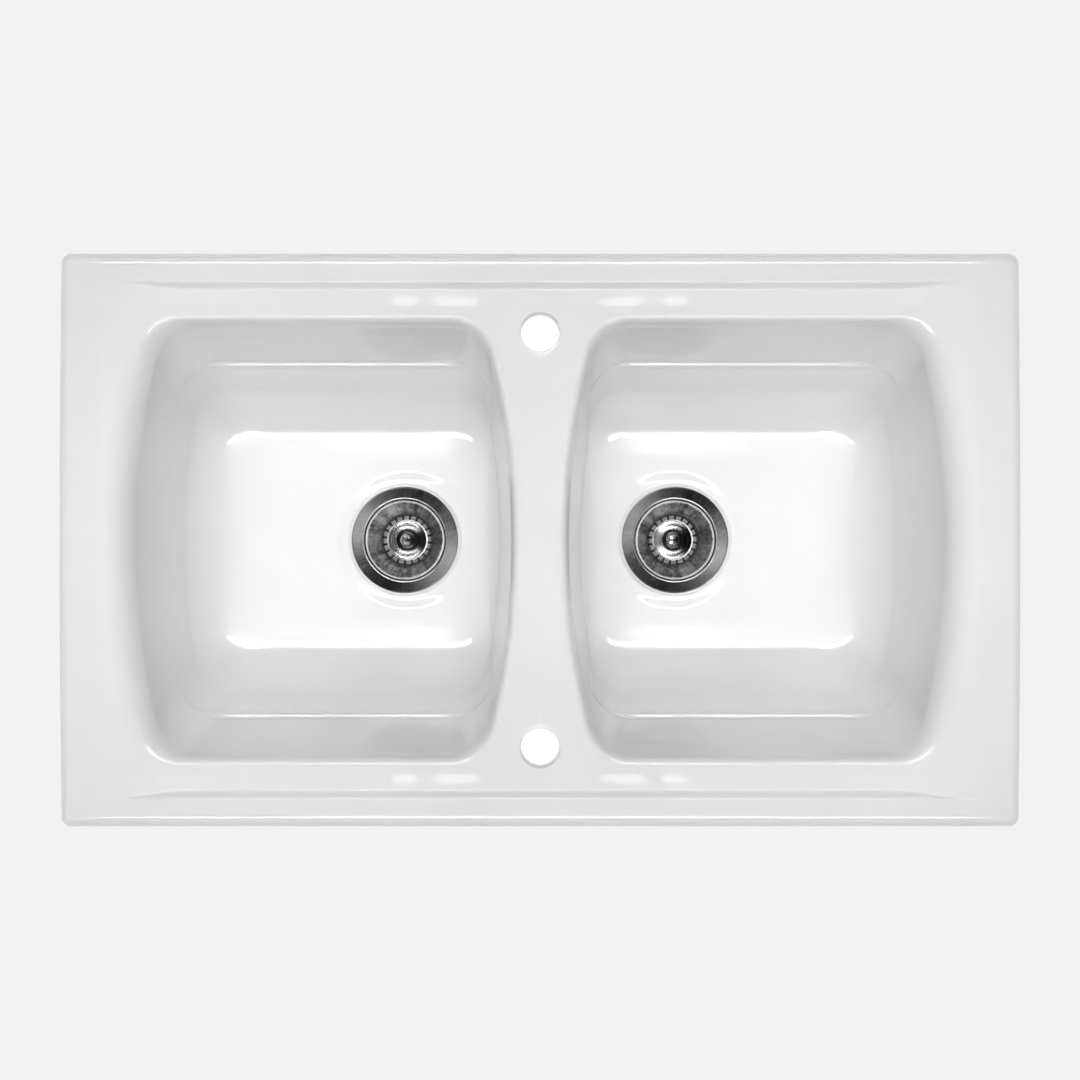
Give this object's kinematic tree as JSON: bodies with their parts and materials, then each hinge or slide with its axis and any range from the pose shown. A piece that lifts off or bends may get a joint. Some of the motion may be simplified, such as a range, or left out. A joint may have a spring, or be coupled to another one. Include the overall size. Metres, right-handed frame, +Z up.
{
  "type": "double bowl kitchen sink",
  "caption": "Inset glazed ceramic kitchen sink with twin bowls, a waisted divider with tap holes, and lift-out basket strainer wastes.",
  "frame": {"origin": "the middle of the sink's plan, on the worktop's top, which is the rim's underside", "axes": "+X along the long side to the right, +Y to the back, +Z up out of the bowls"},
  "size_m": [0.8598, 0.513, 0.29],
  "materials": {
    "glaze": "gloss",
    "brushed_steel": "satin",
    "basket_steel": "satin",
    "polished_steel": "polished",
    "screw_steel": "satin",
    "brass": "satin",
    "waste_plastic": "satin",
    "seal_rubber": "matte",
    "stopper_rubber": "matte"
  },
  "bodies": {
    "sink": {"sink_body": "glaze", "left_strainer_flange": "brushed_steel", "left_flange_seal": "seal_rubber", "left_lower_gasket": "seal_rubber", "left_waste_body": "waste_plastic", "left_thread_insert": "brass", "left_clamp_screw": "screw_steel", "right_strainer_flange": "brushed_steel", "right_flange_seal": "seal_rubber", "right_lower_gasket": "seal_rubber", "right_waste_body": "waste_plastic", "right_thread_insert": "brass", "right_clamp_screw": "screw_steel"},
    "left_stopper": {"left_stopper_seal": "stopper_rubber", "left_stopper_washer": "screw_steel"},
    "left_basket": {"left_basket_cup": "basket_steel", "left_basket_stem": "screw_steel", "left_basket_knob": "polished_steel", "left_stem_clip": "screw_steel"},
    "right_stopper": {"right_stopper_seal": "stopper_rubber", "right_stopper_washer": "screw_steel"},
    "right_basket": {"right_basket_cup": "basket_steel", "right_basket_stem": "screw_steel", "right_basket_knob": "polished_steel", "right_stem_clip": "screw_steel"}
  },
  "joints": [
    {"name": "left_basket_lift", "type": "slide", "parent": "sink", "child": "left_stopper", "axis": [0, 0, 1], "range_m": [0, 0.06]},
    {"name": "left_basket_turn", "type": "hinge", "parent": "left_stopper", "child": "left_basket", "pos_m": [-0.1439, 0, -0.2074], "axis": [0, 0, 1], "continuous": true},
    {"name": "right_basket_lift", "type": "slide", "parent": "sink", "child": "right_stopper", "axis": [0, 0, 1], "range_m": [0, 0.06]},
    {"name": "right_basket_turn", "type": "hinge", "parent": "right_stopper", "child": "right_basket", "pos_m": [0.1439, 0, -0.2074], "axis": [0, 0, 1], "continuous": true}
  ]
}
